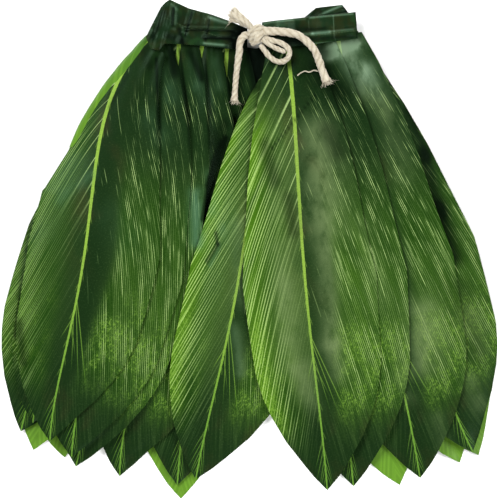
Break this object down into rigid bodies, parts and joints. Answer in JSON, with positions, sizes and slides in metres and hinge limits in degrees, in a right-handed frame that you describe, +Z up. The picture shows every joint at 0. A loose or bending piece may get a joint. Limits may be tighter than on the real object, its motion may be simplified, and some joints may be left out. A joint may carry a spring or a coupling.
{
  "type": "ti leaf skirt",
  "caption": "Hula skirt of printed leaf-shaped satin panels on a gathered waistband tied in front with a cotton cord, laid flat.",
  "frame": {"origin": "middle of the skirt's outline as seen from above, on the surface that it lies on", "axes": "+X to the right as the front is looked at, +Y from the hem to the waist, +Z up, out of the front"},
  "size_m": [0.3954, 0.3984, 0.0254],
  "materials": {
    "leaf_print": "satin, printed with a leaf's midrib and veins",
    "leaf_underside": "satin, plain underside",
    "waistband_cloth": "satin, gathered",
    "cotton_cord": "matt twisted cotton"
  },
  "bodies": {
    "root": {"back_leaf_1": "leaf_underside", "back_leaf_2": "leaf_underside", "back_leaf_3": "leaf_underside", "back_leaf_4": "leaf_underside", "back_leaf_5": "leaf_underside", "back_leaf_6": "leaf_underside", "back_leaf_7": "leaf_underside", "back_leaf_8": "leaf_underside", "back_leaf_9": "leaf_underside", "back_leaf_10": "leaf_underside", "front_leaf_1": "leaf_print", "front_leaf_2": "leaf_print", "front_leaf_3": "leaf_print", "front_leaf_4": "leaf_print", "front_leaf_5": "leaf_print", "front_leaf_6": "leaf_print", "front_leaf_7": "leaf_print", "front_leaf_8": "leaf_print", "front_leaf_9": "leaf_print", "front_leaf_10": "leaf_print", "front_leaf_11": "leaf_print", "front_leaf_12": "leaf_print", "waistband_left": "waistband_cloth", "waistband_right": "waistband_cloth", "waistband_back": "waistband_cloth", "tie_knot": "cotton_cord", "tie_loop": "cotton_cord", "tie_tuft": "cotton_cord", "tie_left_end": "cotton_cord", "tie_right_end": "cotton_cord"}
  },
  "joints": []
}
